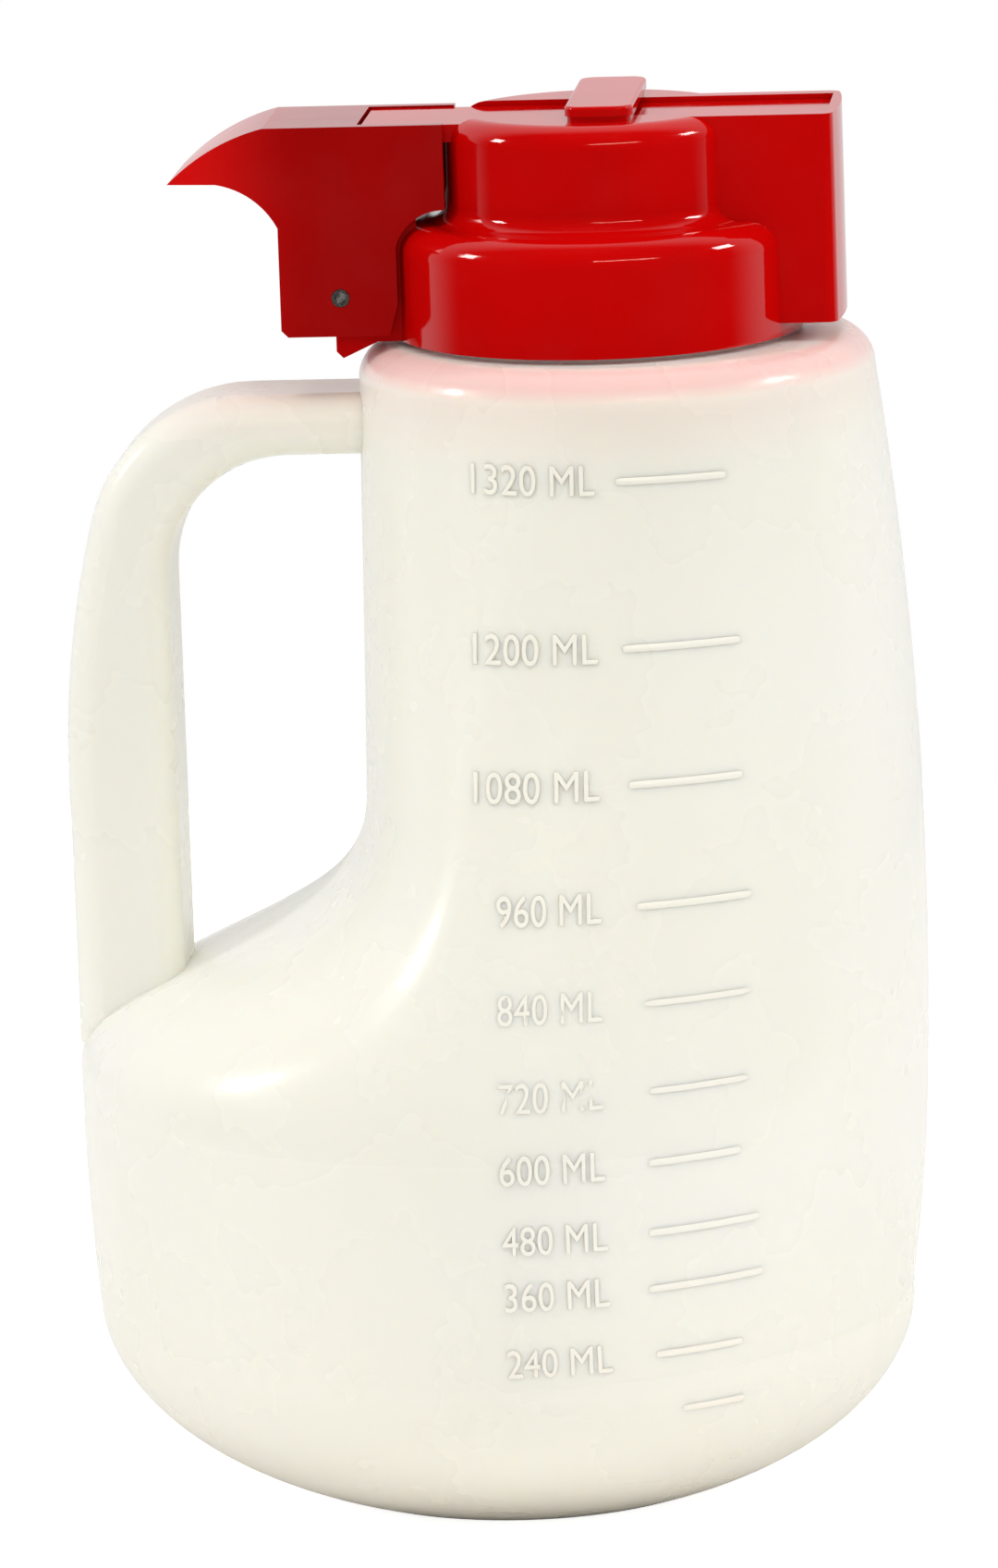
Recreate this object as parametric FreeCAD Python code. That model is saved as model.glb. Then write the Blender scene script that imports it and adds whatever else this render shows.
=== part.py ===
# Syrup dispenser: a blow-moulded jug with a screw-on lid, a thumb lever and a sliding gate.
# Millimetres. +X points to the pouring end, +Y to the back, +Z up.
# The origin is the middle of the box that the dispenser fills, on the surface it stands on.
import FreeCAD, Part
import math
import os

V = FreeCAD.Vector

# ---- jug: overall sizes ----
reach = 63.6             # half the width of the belly, and of the whole dispenser
rest_radius = 32.0       # flat face that the jug stands on
rest_x = 1.5             # its middle
heel_z = 28.0            # where the curved heel ends and the upright wall begins
heel_radius = 61.4       # radius of the belly at the top of the heel
heel_x = -0.8            # its middle there
belly_z = 62.0           # the widest round section
shoulder_z = 172.8       # top of the shoulder
shoulder_x = 20.2        # middle of the shoulder, off centre towards the pouring end
shoulder_radius = 38.2
shoulder_round = 5.5
front_bow = 2.3          # how far the wall at the pouring end stands out from a straight line
saddle_low = 3.0         # the saddle under the handle starts this far above the belly,
saddle_high = 44.0       # ends this far above it against the upright wall,
saddle_swell = 15.5      # and leaves the belly and
saddle_sweep = 26.5      # meets the wall with these two pulls, so it is a smooth hollow
wall_lean = 0.8          # the upright wall stands out this much further at its foot
wall = 1.8               # wall of the moulding
neck_root = 3.0          # the neck starts this far down in the shoulder
sections_round = 24      # points round each section of the body

# ---- jug: handle ----
grip_width = 16.3        # across the grip, seen from the side
grip_set = 0.3           # its outer face inside the widest line of the belly
arm_height = 9.2         # the arm that joins the grip to the shoulder
arm_drop = 7.2           # top of the arm below the top of the shoulder
arm_bend = 18.5          # inside radius of the bend
handle_depth = 20.0      # front to back
handle_round = 4.2
arm_root = 8.0           # the arm runs this far into the shoulder
grip_root = 6.0          # and the grip ends this far above the belly, inside the saddle
crook_tight = 24.5       # outer curve of the handle: radius of its tight part
crook_turn = 75.0        # degrees that the tight part turns
crook_wide = 150.0       # radius of the rest

# ---- lid ----
lid_x = 18.0             # axis of the neck, the skirt and the drum
skirt_radius = 30.0
skirt_wall = 1.8
skirt_gap = 0.8          # skirt above the shoulder
ledge_height = 17.1      # from the bottom of the skirt to the ledge
ledge_round = 4.0
drum_radius = 22.5
drum_height = 15.6       # from the ledge to the top of the lid
drum_round = 3.4
drum_root = 2.6
lid_wall = 2.0
neck_gap = 0.3           # neck inside the skirt, all round
neck_wall = 2.0

# ---- channel of the lid, with the groove for the gate ----
channel_width = 25.0
channel_reach = 36.4     # from the axis of the lid to the pouring end
channel_bulge = 0.9      # the end face is slightly round
channel_gap = 2.0        # bottom of the channel above the bottom of the skirt
channel_round = 1.8      # its upright edges
end_wall = 1.6
gate_width = 18.6
gate_round = 1.5
gate_thick = 2.6
gate_sink = 0.8          # top of the gate below the top of the lid
slide_gap = 0.12         # gate above the floor of the groove
side_gap = 0.2           # gate to each side wall
mouth_length = 4.6       # pouring mouth under the gate
mouth_width = 16.0
mouth_lip = 1.0          # gate overlaps the mouth by this at the pouring end

# ---- strap that keeps the gate down ----
strap_width = 10.0
strap_length = 33.0
strap_thick = 2.3
strap_offset = 1.8       # from the axis of the lid towards the pouring end
strap_round = 2.4
strap_foot = 0.8         # height of the slightly narrower foot
strap_step = 0.35
strap_edge = 0.5

# ---- lever; lengths from the skirt of the lid, drops from the top of the lever ----
lever_drop = 0.5         # top of the lever below the top of the lid
lever_front = 16.2       # front edge of the cheeks
lever_height = 31.0
lever_wall = 2.0
lever_width = 23.2
lever_corner = 1.0
roof_end = 4.2           # where the roof stops and the gate begins
seam = 0.5
gate_play = 0.3          # gate to the cheeks, each side
gate_travel = 5.3
cheek_end_gap = 1.15     # rear edge of the cheeks to the drum
cheek_skirt_gap = 0.48   # and to the skirt
cheek_step_rise = 2.5    # the rear edge follows the ledge of the lid from this far above it
cheek_step_fall = 2.8    # to this far below it
cheek_step_gap = 0.95    # and bows over it with this gap
cheek_toe = 1.3          # its lowest part leans away, so the lever can turn
cheek_toe_drop = 26.3
beak_tip = 32.3
beak_drop = 8.0
beak_root = 18.0         # where the curved nose meets the flat top
beak_rise = 0.34         # how flat the nose starts: its drop half-way along, as a share
beak_under = 8.15        # flat underside of the beak
beak_inner = 25.2        # where the flat underside turns down
nose_drop = 14.8         # end of the hollow curve
nose_bow = 2.9           # the hollow curve's middle from its two ends
pin_x = 7.3
pin_drop = 25.3
pin_radius = 1.3
pin_bore = 0.85
pin_stand = 0.1          # pin past the cheeks at each side
pin_play = 0.05          # pin in the cheeks, all round
cheek_gap = 0.4          # cheek to lug, each side

# ---- pivot lug of the lid, inside the lever ----
lug_radius = 4.0
lug_shelf = 0.7          # how far the floor of the groove reaches over the lever
lug_root = 4.0           # the lug runs this far into the skirt
tail_front = 8.4
tail_drop = 34.6
tail_rear = 2.2
tail_blunt = 1.0

past = 1.0               # a cut runs past the face it opens

skirt_z = shoulder_z + skirt_gap
ledge_z = skirt_z + ledge_height
top_z = ledge_z + drum_height
gate_z = top_z - gate_sink - gate_thick
floor_z = gate_z - slide_gap
ceiling_z = floor_z - lid_wall
rim_z = ledge_z - lid_wall
channel_z = skirt_z + channel_gap
lever_z = top_z - lever_drop
spout_x = lid_x + channel_reach
groove_width = gate_width + 2 * side_gap
lug_width = lever_width - 2 * lever_wall - 2 * cheek_gap
neck_radius = skirt_radius - skirt_wall - neck_gap
skirt_x = lid_x - skirt_radius
ledge_drop = lever_z - ledge_z
cheek_inside = lever_width / 2 - lever_wall
pin_at = V(skirt_x - pin_x, 0, lever_z - pin_drop)
gate_end_x = spout_x - end_wall - side_gap


def beside(radius):
    """How far past the skirt a circle about the lid's axis reaches, at the inner face of a cheek."""
    return math.sqrt(radius ** 2 - cheek_inside ** 2) - skirt_radius


cheek_end = beside(drum_radius) + cheek_end_gap
cheek_skirt = beside(skirt_radius) + cheek_skirt_gap


def half_ellipses(z, left, right, crest, depth):
    """Closed section of two half ellipses that meet at x = crest, where it is deepest."""
    points = []
    for step in range(sections_round):
        turn = 2 * math.pi * step / sections_round
        across = math.cos(turn)
        half = right - crest if across > 0 else crest - left
        points.append(V(crest + half * across, depth * math.sin(turn), z))
    curve = Part.BSplineCurve()
    curve.interpolate(Points=points, PeriodicFlag=True)
    return Part.Wire(curve.toShape())


def loft(sections):
    return Part.makeLoft(sections, True, False)


def ease(share):
    """Level start and a nearly level end: 0 at 0 and 1 at 1."""
    return 3 * share ** 2 - 2 * share ** 3 + 0.3 * (share ** 3 - share ** 2)


def body(inset):
    """Outside of the jug for inset 0, and its inside for inset = wall."""
    def ring(z, left, right, crest, depth):
        return half_ellipses(z, left + inset, right - inset, crest, depth - inset)

    def disc(z, radius, x=0):
        return ring(z, x - radius, x + radius, x, radius)

    rest_turn = math.acos(rest_radius / heel_radius)
    heel_drop = heel_z / math.sin(rest_turn)
    heel = []
    for step in range(5):
        turn = rest_turn * (1 - step / 4)
        z = heel_z - heel_drop * math.sin(turn)
        x = heel_x + (rest_x - heel_x) * (heel_z - z) / heel_z
        heel.append(disc(z + inset * turn / rest_turn, heel_radius * math.cos(turn), x))

    middle_z = heel_z + 0.4 * (belly_z - heel_z)
    middle_radius = heel_radius + 0.6 * (reach - heel_radius)
    belly = [heel[-1], disc(middle_z, middle_radius, heel_x / 2), disc(belly_z, reach)]

    corner_z = shoulder_z - shoulder_round
    narrow = reach - shoulder_radius
    front = reach - shoulder_x - shoulder_radius

    def upper(z, left):
        """Section above the belly: the pouring end bows out, and the sides draw in to the shoulder."""
        up = (z - belly_z) / (corner_z - belly_z)
        right = reach - front * up + 4 * front_bow * up * (1 - up)
        return ring(z, left, right, shoulder_x * up ** 1.5, reach - narrow * ease(up ** 0.75))

    wall_x = shoulder_x - shoulder_radius
    foot_x = wall_x - wall_lean
    hollow = Part.BezierCurve()
    hollow.setPoles([
        V(-reach, 0, belly_z + saddle_low), V(-reach, 0, belly_z + saddle_low + saddle_swell),
        V(foot_x - wall_lean, 0, belly_z + saddle_high - saddle_sweep), V(foot_x, 0, belly_z + saddle_high)])
    saddle = [belly[-1]]
    for share in (0, 0.15, 0.3, 0.45, 0.6, 0.75, 0.9, 1):
        at = hollow.value(share)
        along = hollow.tangent(share)[0]
        saddle.append(upper(at.z - inset * along.x, at.x - inset * (1 - along.z)))
    chest = [saddle[-1]]
    for share in (1 / 3, 2 / 3):
        chest.append(upper(belly_z + saddle_high + share * (corner_z - belly_z - saddle_high),
                           wall_x - wall_lean * (1 - share)))
    shoulder = []
    for step in range(4):
        turn = math.pi / 2 * step / 3
        radius = shoulder_radius - shoulder_round * (1 - math.cos(turn))
        z = corner_z + (shoulder_round - inset) * math.sin(turn)
        shoulder.append(disc(z, radius, shoulder_x))
    chest.append(shoulder[0])
    return loft(heel).fuse(loft(belly)).fuse(loft(saddle)).fuse(loft(chest)).fuse(loft(shoulder))


def handle(inset):
    """Arm and grip as one flat outline, drawn from the side, with rounded edges."""
    top = shoulder_z - arm_drop - inset
    under = shoulder_z - arm_drop - arm_height + inset
    outer = -reach + grip_set + inset
    inner = -reach + grip_set + grip_width - inset
    bend = arm_bend + inset
    end_x = shoulder_x - shoulder_radius + arm_root + 2 * inset
    end_z = belly_z + grip_root - 4 * inset
    tight = crook_tight - inset
    wide = crook_wide - inset
    y = -handle_depth / 2 + inset

    def at(x, z):
        return V(x, y, z)

    def round_point(centre, radius, turn):
        """Point on the outer curve, where turn is the angle from its top."""
        return centre + V(-radius * math.sin(turn), 0, radius * math.cos(turn))

    turn_at = math.radians(crook_turn)
    wide_centre = at(outer + wide, top - tight + (tight - wide) * math.cos(turn_at))
    tight_centre = at(wide_centre.x + (tight - wide) * math.sin(turn_at), top - tight)
    crook = [
        Part.Arc(at(tight_centre.x, top), round_point(tight_centre, tight, turn_at / 2),
                 round_point(tight_centre, tight, turn_at)).toShape(),
        Part.Arc(round_point(wide_centre, wide, turn_at),
                 round_point(wide_centre, wide, (turn_at + math.pi / 2) / 2),
                 at(outer, wide_centre.z)).toShape(),
    ]
    slope = math.sqrt(0.5)
    corner = at(inner + bend, under - bend)
    turn = Part.Arc(at(inner, corner.z), corner + V(-bend * slope, 0, bend * slope),
                    at(corner.x, under)).toShape()
    edges = [
        Part.makeLine(at(end_x, top), at(tight_centre.x, top)),
        *crook,
        Part.makeLine(at(outer, wide_centre.z), at(outer, end_z)),
        Part.makeLine(at(outer, end_z), at(inner, end_z)),
        Part.makeLine(at(inner, end_z), at(inner, corner.z)),
        turn,
        Part.makeLine(at(corner.x, under), at(end_x, under)),
        Part.makeLine(at(end_x, under), at(end_x, top)),
    ]
    depth = handle_depth - 2 * inset
    solid = Part.Face(Part.Wire(edges)).extrude(V(0, depth, 0))
    flat = [e for e in solid.Edges if e.BoundBox.YLength < 1e-6 and e.BoundBox.XMin < end_x - 0.01
            and e.BoundBox.ZMax > end_z + 0.01]
    return solid.makeFillet(handle_round - inset, flat)


def make_jug():
    neck_base = shoulder_z - neck_root
    neck = Part.makeCylinder(neck_radius, rim_z - neck_base, V(lid_x, 0, neck_base))
    bore_base = neck_base - 2 * neck_root
    bore = Part.makeCylinder(neck_radius - neck_wall, rim_z - bore_base + past, V(lid_x, 0, bore_base))
    outside = body(0).fuse(handle(0)).fuse(neck)
    return outside.cut(body(wall)).cut(handle(wall)).cut(bore)


def revolve(points, arcs):
    """Turn an outline in the XZ plane about the axis of the lid; arcs maps a corner to its radius."""
    edges = []
    last = None
    corners = [V(lid_x + r, 0, z) for r, z in points]
    for index, corner in enumerate(corners):
        radius = arcs.get(index, 0)
        before = corners[index - 1]
        after = corners[(index + 1) % len(corners)]
        if radius:
            start = corner + (before - corner).normalize() * radius
            stop = corner + (after - corner).normalize() * radius
            centre = start + stop - corner
            middle = centre + (corner - centre).normalize() * radius
        else:
            start = stop = corner
        if last is not None:
            edges.append(Part.makeLine(last, start))
        else:
            first = start
        if radius:
            edges.append(Part.Arc(start, middle, stop).toShape())
        last = stop
    edges.append(Part.makeLine(last, first))
    return Part.Face(Part.Wire(edges)).revolve(V(lid_x, 0, 0), V(0, 0, 1), 360)


def slab(outline, width):
    """Closed outline of (x, z) points or edges, extruded evenly to both sides of y = 0."""
    face = Part.Face(Part.Wire(outline))
    face.translate(V(0, -width / 2, 0))
    return face.extrude(V(0, width, 0))


def polygon(points):
    corners = [V(x, 0, z) for x, z in points]
    return Part.makePolygon(corners + corners[:1]).Edges


def box(x0, x1, width, z0, z1):
    return Part.makeBox(x1 - x0, width, z1 - z0, V(x0, -width / 2, z0))


def round_end(block, radius):
    """Rounds the two upright edges at the pouring end."""
    corners = [e for e in block.Edges if e.BoundBox.ZLength > 1 and e.BoundBox.XMin > lid_x]
    return block.makeFillet(radius, corners)


def cross_cylinder(radius, width):
    """Cylinder on the axis of the pin, even to both sides of y = 0."""
    return Part.makeCylinder(radius, width, V(pin_at.x, -width / 2, pin_at.z), V(0, 1, 0))


def make_lid():
    shell = revolve(
        [(0, skirt_z), (skirt_radius, skirt_z), (skirt_radius, ledge_z), (drum_radius, ledge_z),
         (drum_radius, top_z), (0, top_z)],
        {2: ledge_round, 3: drum_root, 4: drum_round})
    skirt_inner = skirt_radius - skirt_wall
    drum_inner = drum_radius - lid_wall
    hollow = revolve(
        [(0, skirt_z - past), (skirt_inner, skirt_z - past), (skirt_inner, rim_z), (drum_inner, rim_z),
         (drum_inner, ceiling_z), (0, ceiling_z)], {})

    half = channel_width / 2
    end_face = Part.Arc(V(spout_x - channel_bulge, -half, channel_z), V(spout_x, 0, channel_z),
                        V(spout_x - channel_bulge, half, channel_z)).toShape()
    channel = Part.Face(Part.Wire([
        Part.makeLine(V(lid_x, half, channel_z), V(lid_x, -half, channel_z)),
        Part.makeLine(V(lid_x, -half, channel_z), V(spout_x - channel_bulge, -half, channel_z)),
        end_face,
        Part.makeLine(V(spout_x - channel_bulge, half, channel_z), V(lid_x, half, channel_z)),
    ])).extrude(V(0, 0, top_z - channel_z))
    channel = round_end(channel, channel_round)
    passage = box(lid_x, spout_x - channel_bulge - end_wall, groove_width, rim_z, ceiling_z)

    shelf_x = skirt_x - lug_shelf
    tail_x = skirt_x - tail_front
    tail_z = lever_z - tail_drop
    root_x = skirt_x + lug_root
    tail = polygon([
        (root_x, floor_z), (shelf_x, floor_z), (shelf_x, ledge_z), (pin_at.x, pin_at.z + lug_radius),
        (tail_x, pin_at.z), (tail_x, tail_z + tail_blunt), (tail_x + tail_blunt, tail_z),
        (skirt_x - tail_rear, skirt_z), (root_x, skirt_z)])
    lug = slab(tail, lug_width)
    boss = cross_cylinder(lug_radius, lug_width)

    groove = box(shelf_x - past, gate_end_x + side_gap, groove_width, floor_z, top_z + past)
    mouth_x = gate_end_x - mouth_lip
    mouth = box(mouth_x - mouth_length, mouth_x, mouth_width, ceiling_z - past, floor_z + past)
    hole = cross_cylinder(pin_radius, lug_width + 2 * past)
    lid = shell.fuse(channel).fuse(lug).fuse(boss)
    for tool in (hollow, passage, groove, mouth, hole):
        lid = lid.cut(tool)
    return lid


def make_gate():
    start_x = skirt_x - roof_end + seam
    gate = round_end(box(start_x, gate_end_x, gate_width, gate_z, gate_z + gate_thick), gate_round)
    tongue_x = skirt_x - cheek_end + gate_play + gate_travel
    between = 2 * (cheek_inside - gate_play)
    beside = box(start_x - past, tongue_x, gate_width + 2 * past, gate_z - past, gate_z + gate_thick + past)
    if round(gate_width - between, 6) > 0:
        gate = gate.cut(beside.cut(box(start_x - past, tongue_x, between, gate_z - past, gate_z + gate_thick + past)))
    return gate


def make_strap():
    middle_x = lid_x + strap_offset

    def plate(width, length, radius, z, height):
        block = box(middle_x - width / 2, middle_x + width / 2, length, z, z + height)
        return block.makeFillet(radius, [e for e in block.Edges if e.BoundBox.ZLength > height / 2])

    foot = plate(strap_width - 2 * strap_step, strap_length - 2 * strap_step,
                 strap_round - strap_step, top_z, strap_foot)
    top = plate(strap_width, strap_length, strap_round, top_z + strap_foot, strap_thick - strap_foot)
    rim = [e for e in top.Edges if e.BoundBox.ZMin > top_z + strap_thick - 1e-3]
    return foot.fuse(top.makeFillet(strap_edge, rim))


def make_lever():
    def at(x, drop):
        return V(skirt_x - x, 0, lever_z - drop)

    def line(*corners):
        points = [at(x, drop) for x, drop in corners]
        return Part.makePolygon(points).Edges

    def arc(start, middle, stop):
        return Part.Arc(at(*start), at(*middle), at(*stop)).toShape()

    tip = (beak_tip, beak_drop)
    inner = (beak_inner, beak_under)
    root = (beak_root, 0)
    throat = (lever_front, nose_drop)
    step_low = (cheek_skirt, ledge_drop + cheek_step_fall)
    step_high = (cheek_end, ledge_drop - cheek_step_rise)
    step_middle = (beside(skirt_radius - ledge_round / 2), ledge_drop - cheek_step_gap)
    toe = (cheek_skirt + cheek_toe, lever_height)
    outline = [
        arc(root, ((beak_root + beak_tip) / 2, beak_rise * beak_drop), tip),
        *line(tip, inner),
        arc(inner, (lever_front + nose_bow, beak_under + nose_bow), throat),
        *line(throat, (lever_front, lever_height - lever_corner), (lever_front - lever_corner, lever_height),
              toe, (cheek_skirt, cheek_toe_drop), step_low),
        arc(step_low, step_middle, step_high),
        *line(step_high, (cheek_end, 0), root),
    ]
    solid = slab(outline, lever_width)
    inner_x = skirt_x - lever_front + lever_wall
    inner_width = lever_width - 2 * lever_wall
    low = lever_z - lever_height - past
    under_roof = box(inner_x, lid_x, inner_width, low, lever_z - lever_wall)
    open_top = box(skirt_x - roof_end, lid_x, inner_width, low, lever_z + past)
    hole = cross_cylinder(pin_radius + pin_play, lever_width + 2 * past)
    return solid.cut(under_roof).cut(open_top).cut(hole)


def make_pin():
    length = lever_width + 2 * pin_stand
    return cross_cylinder(pin_radius, length).cut(cross_cylinder(pin_bore, length))


pieces = {
    "jug": make_jug,
    "lid": make_lid,
    "gate": make_gate,
    "strap": make_strap,
    "lever": make_lever,
    "pin": make_pin,
}

os.makedirs("parts", exist_ok=True)
for name, make in pieces.items():
    shape = make()
    if len(shape.Solids) != 1 or not shape.isValid():
        raise ValueError(f"{name}: {len(shape.Solids)} solids, valid {shape.isValid()}")
    shape.Solids[0].exportStep(f"parts/{name}.step")
    box_of = shape.BoundBox
    print(name, round(shape.Volume), [round(v, 1) for v in (
        box_of.XMin, box_of.XMax, box_of.YMin, box_of.YMax, box_of.ZMin, box_of.ZMax)])
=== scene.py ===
import bpy, math
import numpy as np
from mathutils import Matrix, Vector


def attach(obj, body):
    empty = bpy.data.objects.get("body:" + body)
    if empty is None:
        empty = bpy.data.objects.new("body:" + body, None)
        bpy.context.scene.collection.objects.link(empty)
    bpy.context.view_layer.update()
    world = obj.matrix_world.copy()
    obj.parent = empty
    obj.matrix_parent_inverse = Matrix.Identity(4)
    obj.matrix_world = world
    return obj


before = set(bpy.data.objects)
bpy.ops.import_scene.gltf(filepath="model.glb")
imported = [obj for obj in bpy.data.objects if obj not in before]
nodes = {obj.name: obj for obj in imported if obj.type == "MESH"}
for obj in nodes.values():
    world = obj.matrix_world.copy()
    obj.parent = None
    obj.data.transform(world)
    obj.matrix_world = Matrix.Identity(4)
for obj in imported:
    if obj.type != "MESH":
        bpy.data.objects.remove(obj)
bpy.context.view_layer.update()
bpy.context.scene.view_settings.view_transform = "Standard"
print("stage: the packed dispenser is in")


# The eye stands in front, a little above, and the dispenser is turned slightly.
view = {
    "turn": 5.2,          # degrees that the dispenser is turned about +Z as seen from the eye
    "lookDown": 11.81,    # degrees
    "tilt": 2.005,        # degrees that the picture leans to the left
    "away": 1.400,        # metres from the eye to the axis, along the ground
    "aside": 0.0005,
    "height": 0.3976,
    "lens": 345.33,       # millimetres on a 36 mm wide frame
}


def addEye():
    turn, down, tilt = (math.radians(view[k]) for k in ("turn", "lookDown", "tilt"))
    across = Vector((math.cos(turn), math.sin(turn), 0))
    away = Vector((-math.sin(turn), math.cos(turn), 0))
    ahead = math.cos(down) * away - Vector((0, 0, math.sin(down)))
    upward = math.sin(down) * away + Vector((0, 0, math.cos(down)))
    right = math.cos(tilt) * across - math.sin(tilt) * upward
    top = math.cos(tilt) * upward + math.sin(tilt) * across
    data = bpy.data.cameras.new("eye")
    data.sensor_fit = "HORIZONTAL"
    data.sensor_width = 36
    data.lens = view["lens"]
    data.clip_end = 20
    eye = bpy.data.objects.new("eye", data)
    place = view["aside"] * across - view["away"] * away + Vector((0, 0, view["height"]))
    eye.matrix_world = Matrix.Translation(place) @ Matrix((right, top, -ahead)).transposed().to_4x4()
    bpy.context.collection.objects.link(eye)
    bpy.context.scene.camera = eye


addEye()


# Helpers for node materials.
def newMaterial(name):
    material = bpy.data.materials.new(name)
    material.use_nodes = True
    tree = material.node_tree
    tree.nodes.clear()
    output = tree.nodes.new("ShaderNodeOutputMaterial")
    shader = tree.nodes.new("ShaderNodeBsdfPrincipled")
    tree.links.new(shader.outputs["BSDF"], output.inputs["Surface"])
    return material, tree, shader


def setSockets(node, **values):
    for name, value in values.items():
        node.inputs[name.replace("_", " ")].default_value = value


# Adds a node; links are (input name or index, output socket) pairs.
def addNode(tree, kind, links=(), **settings):
    node = tree.nodes.new("ShaderNode" + kind)
    for key, value in settings.items():
        if hasattr(node, key):
            setattr(node, key, value)
        else:
            node.inputs[key.replace("_", " ")].default_value = value
    for where, socket in links:
        tree.links.new(socket, node.inputs[where])
    return node


def objectPoint(tree, scale=(1, 1, 1)):
    place = addNode(tree, "TexCoord").outputs["Object"]
    return addNode(tree, "Mapping", [("Vector", place)], Scale=scale).outputs["Vector"]


def noiseOf(tree, vector, scale, detail):
    return addNode(tree, "TexNoise", [("Vector", vector)], Scale=scale, Detail=detail).outputs["Fac"]


def fromTo(tree, value, low, high, toLow, toHigh):
    node = addNode(tree, "MapRange", [("Value", value)])
    node.interpolation_type = "SMOOTHSTEP"
    for name, number in (("From Min", low), ("From Max", high), ("To Min", toLow), ("To Max", toHigh)):
        node.inputs[name].default_value = number
    return node.outputs["Result"]


def multiply(tree, first, second):
    return addNode(tree, "Math", [(0, first), (1, second)], operation="MULTIPLY").outputs[0]


def mixColours(tree, share, first, second):
    node = tree.nodes.new("ShaderNodeMix")
    node.data_type = "RGBA"
    tree.links.new(share, node.inputs[0])
    for slot, colour in ((6, first), (7, second)):
        if isinstance(colour, tuple):
            node.inputs[slot].default_value = (*colour, 1)
        else:
            tree.links.new(colour, node.inputs[slot])
    return node.outputs[2]


def bumpOf(tree, height, strength, distance, under=None):
    node = addNode(tree, "Bump", [("Height", height)], Strength=strength, Distance=distance)
    if under is not None:
        tree.links.new(under, node.inputs["Normal"])
    return node.outputs["Normal"]


# Milky jug: light goes into the wall and comes out again, so it has hardly any shade. The
# raised marks have the same finish with glow 0, so that their edges stay crisp.
jugFinish = {
    "milk": (0.90, 0.88, 0.785),
    "cool": (0.915, 0.905, 0.835),         # thinner places look a little cooler
    "peach": (0.94, 0.87, 0.76),           # warmer towards the base
    "peachTop": 0.060,                     # metres, where the peach has gone
    "peachShare": 0.8,
    "paintedLidReflection": (0.86, 0.52, 0.50),           # painted reflection of the red lid on the shoulder
    "paintedLightUnderSkirt": (1.0, 0.93, 0.87),         # painted light on the shoulder's top under the skirt, lifting the skirt's shade, tinged pink by painted reflection of the lid
    "shoulderX": 0.0202,                   # middle of the shoulder
    "shoulderZ": (0.1680, 0.1705),         # heights over which the wall becomes the shoulder's top
    "ringRadius": (0.0325, 0.0350),        # the painted reflection is a ring, over these radii
    "ringShare": 0.75,
    "topRadius": (0.0290, 0.0335),         # and the top inside it fades over these
    "topShares": (0.75, 0.25),
    "underZ": (0.1560, 0.1690, 0.1700),    # heights where the painted reflection under the ring starts, peaks and ends
    "underShare": 0.22,
    "glow": 0.0020,                        # how far light travels in the wall, in metres
    "rough": 0.26,
    "smoother": 0.03,                      # roughness goes from this much less
    "rougher": 0.05,                       # to this much more
    "ripple": 0.0005,                      # metres
    "rippleStrength": 0.30,
    "grain": 0.0001,
    "grainStrength": 0.04,
}


def milkyPlastic(name, glow):
    material, tree, shader = newMaterial(name)
    place = objectPoint(tree)
    point = addNode(tree, "TexCoord").outputs["Object"]
    x, y, z = addNode(tree, "SeparateXYZ", [(0, point)]).outputs
    cloud = fromTo(tree, noiseOf(tree, place, 9, 2), 0.3, 0.7, 0, 1)
    colour = mixColours(tree, cloud, jugFinish["milk"], jugFinish["cool"])
    peach = fromTo(tree, z, 0, jugFinish["peachTop"], jugFinish["peachShare"], 0)
    colour = mixColours(tree, peach, colour, jugFinish["peach"])
    # radius is how far a point is from the middle of the shoulder
    out = addNode(tree, "Math", [(0, x)], operation="SUBTRACT")
    out.inputs[1].default_value = jugFinish["shoulderX"]
    flat = addNode(tree, "CombineXYZ", [("X", out.outputs[0]), ("Y", y)])
    radius = addNode(tree, "VectorMath", [(0, flat.outputs[0])], operation="LENGTH").outputs["Value"]
    high = fromTo(tree, z, *jugFinish["shoulderZ"], 0, 1)
    # painted reflection of the red lid: a pink ring on the shoulder's rounding
    ring = multiply(tree, high, fromTo(tree, radius, *jugFinish["ringRadius"], 0, jugFinish["ringShare"]))
    # painted light on the shoulder's top under the skirt, lifting the shade the skirt casts there
    top = multiply(tree, high, fromTo(tree, radius, *jugFinish["topRadius"], *jugFinish["topShares"]))
    colour = mixColours(tree, top, colour, jugFinish["paintedLightUnderSkirt"])
    colour = mixColours(tree, ring, colour, jugFinish["paintedLidReflection"])
    # painted reflection of the lid, fainter, in a band just under the ring
    start, peak, end = jugFinish["underZ"]
    under = multiply(tree, fromTo(tree, z, start, peak, 0, jugFinish["underShare"]),
                     fromTo(tree, z, peak, end, 1, 0))
    colour = mixColours(tree, under, colour, jugFinish["paintedLidReflection"])
    tree.links.new(colour, shader.inputs["Base Color"])
    stretched = objectPoint(tree, (1, 1, 0.2))       # flow of the parison: long upright waves
    normal = bumpOf(tree, noiseOf(tree, stretched, 34, 1.5), jugFinish["rippleStrength"],
                    jugFinish["ripple"])
    normal = bumpOf(tree, noiseOf(tree, place, 900, 2), jugFinish["grainStrength"], jugFinish["grain"],
                    normal)
    tree.links.new(normal, shader.inputs["Normal"])
    tree.links.new(fromTo(tree, noiseOf(tree, place, 60, 3), 0.3, 0.7,
                          jugFinish["rough"] - jugFinish["smoother"], jugFinish["rough"] + jugFinish["rougher"]),
                   shader.inputs["Roughness"])
    setSockets(shader, IOR=1.49, Subsurface_Weight=glow, Subsurface_Scale=jugFinish["glow"],
               Coat_Weight=0.15, Coat_Roughness=0.06)
    shader.inputs["Subsurface Radius"].default_value = (1.0, 0.92, 0.8)
    return material


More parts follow.
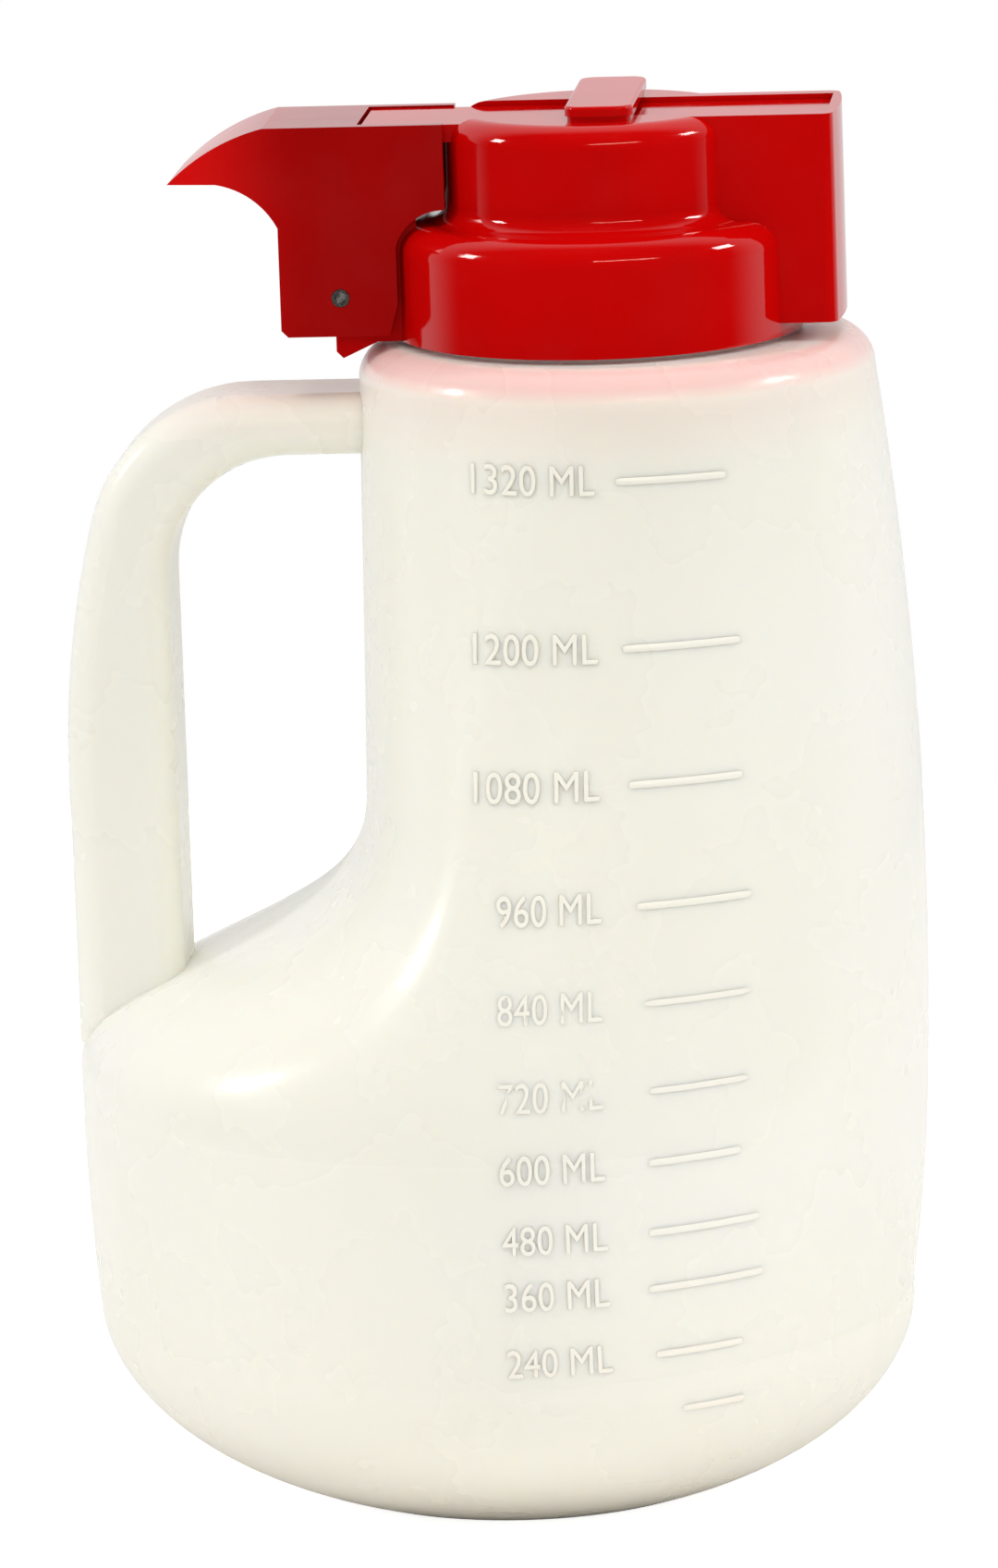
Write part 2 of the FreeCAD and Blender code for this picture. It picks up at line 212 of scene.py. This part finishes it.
# Red lid, lever, gate and strap: glossy, with a slightly deeper red in the swirls of the moulding.
lidFinish = {
    "red": (0.56, 0.0010, 0.0010),
    "deep": (0.48, 0.0008, 0.0008),
    # painted shade: the lever is a darker red than the lid because its cheeks get less light
    "leverPaintedShade": (0.37, 0.0008, 0.0008),
    "leverPaintedShadeDeep": (0.32, 0.0006, 0.0006),   # its deeper swirls; both are painted shade, as the cheeks face away from the light
    "paintedBeakLight": (0.66, 0.002, 0.0018),         # painted light on the beak, brighter than the cheeks
    "beak": (-0.042, -0.024),              # metres in x over which the beak's painted light fades into the cheeks' painted shade
    "rough": 0.07,
    "leverRougher": 0.05,
    "smoother": 0.02,                      # roughness goes from this much less
    "rougher": 0.04,                       # to this much more
    "wave": 0.0006,                        # metres
    "waveStrength": 0.10,
    "flatStrength": 0.04,                  # the same on the flat gate and strap
    "peel": 0.00012,
    "peelStrength": 0.06,
}


def redPlastic(name, red, deep, rough, wave, paintedBeakLight=None):
    material, tree, shader = newMaterial(name)
    place = objectPoint(tree)
    swirl = fromTo(tree, noiseOf(tree, place, 22, 3), 0.35, 0.65, 0, 1)
    colour = mixColours(tree, swirl, red, deep)
    if paintedBeakLight:      # painted light: the thin beak is made brighter than the cheeks, standing in for light let through it
        point = addNode(tree, "TexCoord").outputs["Object"]
        x = addNode(tree, "SeparateXYZ", [(0, point)]).outputs["X"]
        colour = mixColours(tree, fromTo(tree, x, *lidFinish["beak"], 1, 0), colour, paintedBeakLight)
    tree.links.new(colour, shader.inputs["Base Color"])
    normal = bumpOf(tree, noiseOf(tree, place, 26, 2), wave, lidFinish["wave"])
    normal = bumpOf(tree, noiseOf(tree, place, 170, 2), lidFinish["peelStrength"], lidFinish["peel"], normal)
    tree.links.new(normal, shader.inputs["Normal"])
    tree.links.new(fromTo(tree, noiseOf(tree, place, 90, 4), 0.3, 0.7,
                          rough - lidFinish["smoother"], rough + lidFinish["rougher"]),
                   shader.inputs["Roughness"])
    setSockets(shader, IOR=1.5)
    return material


# Steel pin, rolled from strip.
pinFinish = {"steel": (0.62, 0.60, 0.57), "dark": (0.36, 0.34, 0.32), "rough": 0.24}


def rolledSteel():
    material, tree, shader = newMaterial("rolledSteel")
    place = objectPoint(tree, (1, 0.1, 1))
    streak = noiseOf(tree, place, 2500, 3)
    colour = mixColours(tree, fromTo(tree, streak, 0.3, 0.7, 0, 1), pinFinish["steel"], pinFinish["dark"])
    tree.links.new(colour, shader.inputs["Base Color"])
    tree.links.new(bumpOf(tree, streak, 0.2, 0.00005), shader.inputs["Normal"])
    tree.links.new(fromTo(tree, streak, 0.2, 0.8, pinFinish["rough"] - 0.08, pinFinish["rough"] + 0.12),
                   shader.inputs["Roughness"])
    setSockets(shader, Metallic=1.0)
    return material


def dress(node, material):
    for slot in nodes[node].material_slots:
        slot.material = material


dress("jug", milkyPlastic("milkyJug", 1.0))
for node, name, wave in (("lid", "redLid", "waveStrength"), ("gate", "redGate", "flatStrength"),
                         ("strap", "redStrap", "flatStrength")):
    dress(node, redPlastic(name, lidFinish["red"], lidFinish["deep"], lidFinish["rough"], lidFinish[wave]))
# the lever gets painted shade on its cheeks and painted light on its beak
dress("lever", redPlastic("redLever", lidFinish["leverPaintedShade"], lidFinish["leverPaintedShadeDeep"],
                          lidFinish["rough"] + lidFinish["leverRougher"], lidFinish["waveStrength"],
                          lidFinish["paintedBeakLight"]))
dress("pin", rolledSteel())
print("stage: the six parts have their finishes")


# Level marks, raised on the front.
marks = {
    "relief": 0.00024,        # metres; part of it is sunk, so that no mark floats off the wall
    "barSunk": 0.00003,
    "barHeight": 0.0011,
    "letterSize": 0.0043 * 1.42,           # size of the type that gives letters 4.3 mm high
    "letterGap": 1.02,
    "letterRight": 0.0194,    # right-hand end of every label
    "longLabel": 0.0183,      # width of a label with four figures
    "shortLabel": 0.0150,     # and with three
    "letterRise": 0.8,        # share of the type's thickness that is kept
    "letterSunk": 0.4,        # share of the relief that is sunk
    "noLabel": 120,           # the lowest mark has only its bar
    "wellInFront": -0.2,      # metres in y from which marks are laid on the wall
    "faint": {840: 0.3, 720: 0.3, 960: 0.7, 240: 0.7, 120: 0.5},    # share of the relief that is left
    "levels": {               # millilitres: height, and where its bar starts and ends
        1320: (0.1572, 0.0223, 0.0382), 1200: (0.1333, 0.0228, 0.0397), 1080: (0.1141, 0.0234, 0.0397),
        960: (0.0971, 0.0243, 0.0407), 840: (0.0835, 0.0250, 0.0405), 720: (0.0712, 0.0255, 0.0400),
        600: (0.0609, 0.0255, 0.0385), 480: (0.0504, 0.0252, 0.0407), 360: (0.0419, 0.0249, 0.0409),
        240: (0.0317, 0.0255, 0.0378), 120: (0.0228, 0.0290, 0.0378)},
}


def meshFrom(name, points, faces):
    mesh = bpy.data.meshes.new(name)
    mesh.from_pydata(points.reshape(-1, 3).tolist(), [], faces.tolist())
    mesh.update()
    piece = bpy.data.objects.new(name, mesh)
    bpy.context.collection.objects.link(piece)
    return piece


# Quads between neighbouring points of a rows x columns grid, as index arrays.
def gridFaces(rows, columns, closeColumns=False):
    r, c = np.meshgrid(np.arange(rows - 1), np.arange(columns if closeColumns else columns - 1), indexing="ij")
    nextC = (c + 1) % columns
    quads = np.stack([r * columns + c, r * columns + nextC,
                      (r + 1) * columns + nextC, (r + 1) * columns + c], -1)
    return quads.reshape(-1, 4)


def getPoints(mesh):
    flat = np.empty(len(mesh.vertices) * 3)
    mesh.vertices.foreach_get("co", flat)
    return flat.reshape(-1, 3)


def setPoints(mesh, points):
    mesh.vertices.foreach_set("co", points.ravel())
    mesh.update()


# Each point at (x, relief, z) goes to (x, wall(x, z) - relief, z): the wall's own y comes from
# a shrinkwrap along +Y, and the relief is taken off it.
def layOnFront(piece, target):
    points = getPoints(piece.data)
    relief = points[:, 1].copy()
    points[:, 1] = marks["wellInFront"]
    setPoints(piece.data, points)
    wrap = piece.modifiers.new("wrap", "SHRINKWRAP")
    wrap.target = target
    wrap.wrap_method = "PROJECT"
    wrap.use_project_x = False
    wrap.use_project_y = True
    wrap.use_project_z = False
    wrap.use_positive_direction = True
    wrap.use_negative_direction = False
    bpy.context.view_layer.update()
    wrapped = piece.evaluated_get(bpy.context.evaluated_depsgraph_get()).to_mesh()
    landed = getPoints(wrapped)
    landed[:, 1] -= relief
    piece.modifiers.remove(wrap)
    setPoints(piece.data, landed)


# A bar is a pillow: across s and along t, both from -1 to 1, its relief is
# relief * (1 - s^2) * (1 - t^10), so it fades at its ends and edges.
def addBars(target):
    blocks, faces, count = [], [], 0
    rows, columns = 9, 41
    s, t = np.meshgrid(np.linspace(-1, 1, rows), np.linspace(-1, 1, columns), indexing="ij")
    pillow = marks["relief"] * (1 - s ** 2) * (1 - np.abs(t) ** 10)
    for level, (height, start, end) in marks["levels"].items():
        relief = pillow * marks["faint"].get(level, 1) - marks["barSunk"]
        x = (start + end) / 2 + t * (end - start) / 2
        z = height + s * marks["barHeight"] / 2
        blocks.append(np.stack([x, relief, z], -1).reshape(-1, 3))
        faces.append(gridFaces(rows, columns) + count)
        count += rows * columns
    piece = meshFrom("levelBars", np.concatenate(blocks), np.concatenate(faces))
    layOnFront(piece, target)
    return piece


# Figures and the letters ML as outlines with a rounded edge, stood upright in the XZ plane,
# then laid on the wall with their thickness as relief.
def addLabels(target):
    blocks, faces, count = [], [], 0
    for level, (height, _, _) in marks["levels"].items():
        if level == marks["noLabel"]:
            continue
        curve = bpy.data.curves.new("label", "FONT")
        curve.body = f"{level} ML"
        curve.align_x = "RIGHT"
        curve.align_y = "CENTER"
        curve.size = marks["letterSize"]
        curve.space_character = marks["letterGap"]
        curve.extrude = marks["relief"] * 0.5
        curve.bevel_depth = marks["relief"] * 0.45
        curve.bevel_resolution = 2
        curve.offset = -marks["relief"] * 0.25
        text = bpy.data.objects.new("label", curve)
        bpy.context.collection.objects.link(text)
        bpy.context.view_layer.update()
        mesh = bpy.data.meshes.new_from_object(text)
        flat = getPoints(mesh)
        width = flat[:, 0].max() - flat[:, 0].min()
        squeeze = (marks["longLabel"] if level > 999 else marks["shortLabel"]) / width
        x = (flat[:, 0] - flat[:, 0].max()) * squeeze + marks["letterRight"]
        relief = ((flat[:, 2] - flat[:, 2].min()) * marks["faint"].get(level, 1) * marks["letterRise"]
                  - marks["relief"] * marks["letterSunk"])
        points = np.stack([x, relief, flat[:, 1] + height], -1)
        blocks.append(points)
        faces += [[v + count for v in polygon.vertices] for polygon in mesh.polygons]
        count += len(points)
        bpy.data.objects.remove(text)
    mesh = bpy.data.meshes.new("levelLabels")
    mesh.from_pydata(np.concatenate(blocks).tolist(), [], faces)
    piece = bpy.data.objects.new("levelLabels", mesh)
    bpy.context.collection.objects.link(piece)
    layOnFront(piece, target)
    return piece


milkyMarks = milkyPlastic("milkyMarks", 0.0)
for piece in (addBars(nodes["jug"]), addLabels(nodes["jug"])):
    piece.data.materials.append(milkyMarks)
    piece.data.shade_smooth()
    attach(piece, "jug_body")
print("stage: level marks are on the wall")


# Floor, lamps and surroundings.
studio = {
    "floorRadius": 0.5,
    "floorDrop": 0.0002,     # metres below the jug's foot
    "floorTone": (0.93, 0.93, 0.92, 1),
    "floorGlow": 0.85,
    "aim": (0, 0, 0.14),     # every lamp points here
    "surround": 0.66,        # light from all round
    "front": 0.015,          # what a gloss in front of the dispenser reflects
    "behind": 0.80,          # and what it reflects behind it
    "hidden": ("fill", "top"),    # a gloss doesn't show these lamps
    "left": {"place": (-1.55, -0.30, 0.95), "size": (0.28, 0.33), "power": 6.2, "colour": (1, 0.985, 0.96)},
    "right": {"place": (1.50, -0.05, 1.10), "size": (0.37, 0.25), "power": 6.4, "colour": (1, 0.985, 0.96)},
    "tube": {"place": (0.62, -1.66, 1.10), "size": (1.25, 0.04), "power": 3.4, "colour": (1, 0.88, 0.72)},
    "fill": {"place": (0.3, -1.6, 0.30), "size": (0.9, 0.7), "power": 0.5, "colour": (1, 0.98, 0.95)},
    "top": {"place": (0.0, -0.35, 1.3), "size": (0.9, 0.6), "power": 4.6, "colour": (1, 0.99, 0.97)},
}


def seenByEye(tree, path):
    return addNode(tree, "Math", [(0, path.outputs["Is Camera Ray"]), (1, path.outputs["Is Transmission Ray"])],
                   operation="MAXIMUM")


# A disc: radius r from 1 mm to floorRadius and angle a all round, at (r cos a, r sin a).
def addFloor():
    rings, spokes = 4, 64
    r, a = np.meshgrid(np.linspace(0.001, studio["floorRadius"], rings),
                       np.linspace(0, 2 * np.pi, spokes, endpoint=False), indexing="ij")
    points = np.stack([r * np.cos(a), r * np.sin(a), np.full_like(r, -studio["floorDrop"])], -1)
    floor = meshFrom("floor", points, gridFaces(rings, spokes, True))
    material = bpy.data.materials.new("paleFloor")
    material.use_nodes = True
    tree = material.node_tree
    tree.nodes.clear()
    output = tree.nodes.new("ShaderNodeOutputMaterial")
    matte = addNode(tree, "BsdfDiffuse", Color=studio["floorTone"])
    glow = addNode(tree, "Emission", Color=(1, 1, 1, 1), Strength=studio["floorGlow"])
    both = addNode(tree, "AddShader", [(0, matte.outputs[0]), (1, glow.outputs[0])])
    path = addNode(tree, "LightPath")
    seen = seenByEye(tree, path)
    pick = addNode(tree, "MixShader", [(0, seen.outputs[0]), (1, matte.outputs[0]), (2, both.outputs[0])])
    tree.links.new(pick.outputs[0], output.inputs["Surface"])
    floor.data.materials.append(material)


def addLamp(name):
    lamp = studio[name]
    data = bpy.data.lights.new(name, "AREA")
    data.shape = "RECTANGLE"
    data.size, data.size_y = lamp["size"]
    data.energy = lamp["power"]
    data.color = lamp["colour"]
    piece = bpy.data.objects.new(name, data)
    place, aim = Vector(lamp["place"]), Vector(studio["aim"])
    turned = (aim - place).to_track_quat("-Z", "Y").to_matrix().to_4x4()
    piece.matrix_world = Matrix.Translation(place) @ turned
    piece.visible_glossy = name not in studio["hidden"]
    bpy.context.collection.objects.link(piece)


# The eye sees plain white. A gloss sees white behind the dispenser and a dim room in front.
def addSurround():
    world = bpy.data.worlds.new("studio")
    bpy.context.scene.world = world
    world.use_nodes = True
    tree = world.node_tree
    tree.nodes.clear()
    output = tree.nodes.new("ShaderNodeOutputWorld")
    direction = addNode(tree, "TexCoord").outputs["Generated"]
    y = addNode(tree, "SeparateXYZ", [(0, direction)]).outputs["Y"]
    behind = fromTo(tree, y, -0.15, 0.35, studio["front"], studio["behind"])
    path = addNode(tree, "LightPath")
    white = addNode(tree, "Background", Color=(1, 1, 1, 1), Strength=1.0)
    room = addNode(tree, "Background", [("Strength", behind)], Color=(1, 1, 1, 1))
    soft = addNode(tree, "Background", Color=(1, 1, 1, 1), Strength=studio["surround"])
    glossy = addNode(tree, "MixShader", [(0, path.outputs["Is Glossy Ray"]), (1, soft.outputs[0]),
                                         (2, room.outputs[0])])
    seen = seenByEye(tree, path)
    pick = addNode(tree, "MixShader", [(0, seen.outputs[0]), (1, glossy.outputs[0]), (2, white.outputs[0])])
    tree.links.new(pick.outputs[0], output.inputs["Surface"])


addFloor()
addSurround()
for name in ("left", "right", "tube", "fill", "top"):
    addLamp(name)
print("stage: floor, lamps and surroundings are ready")
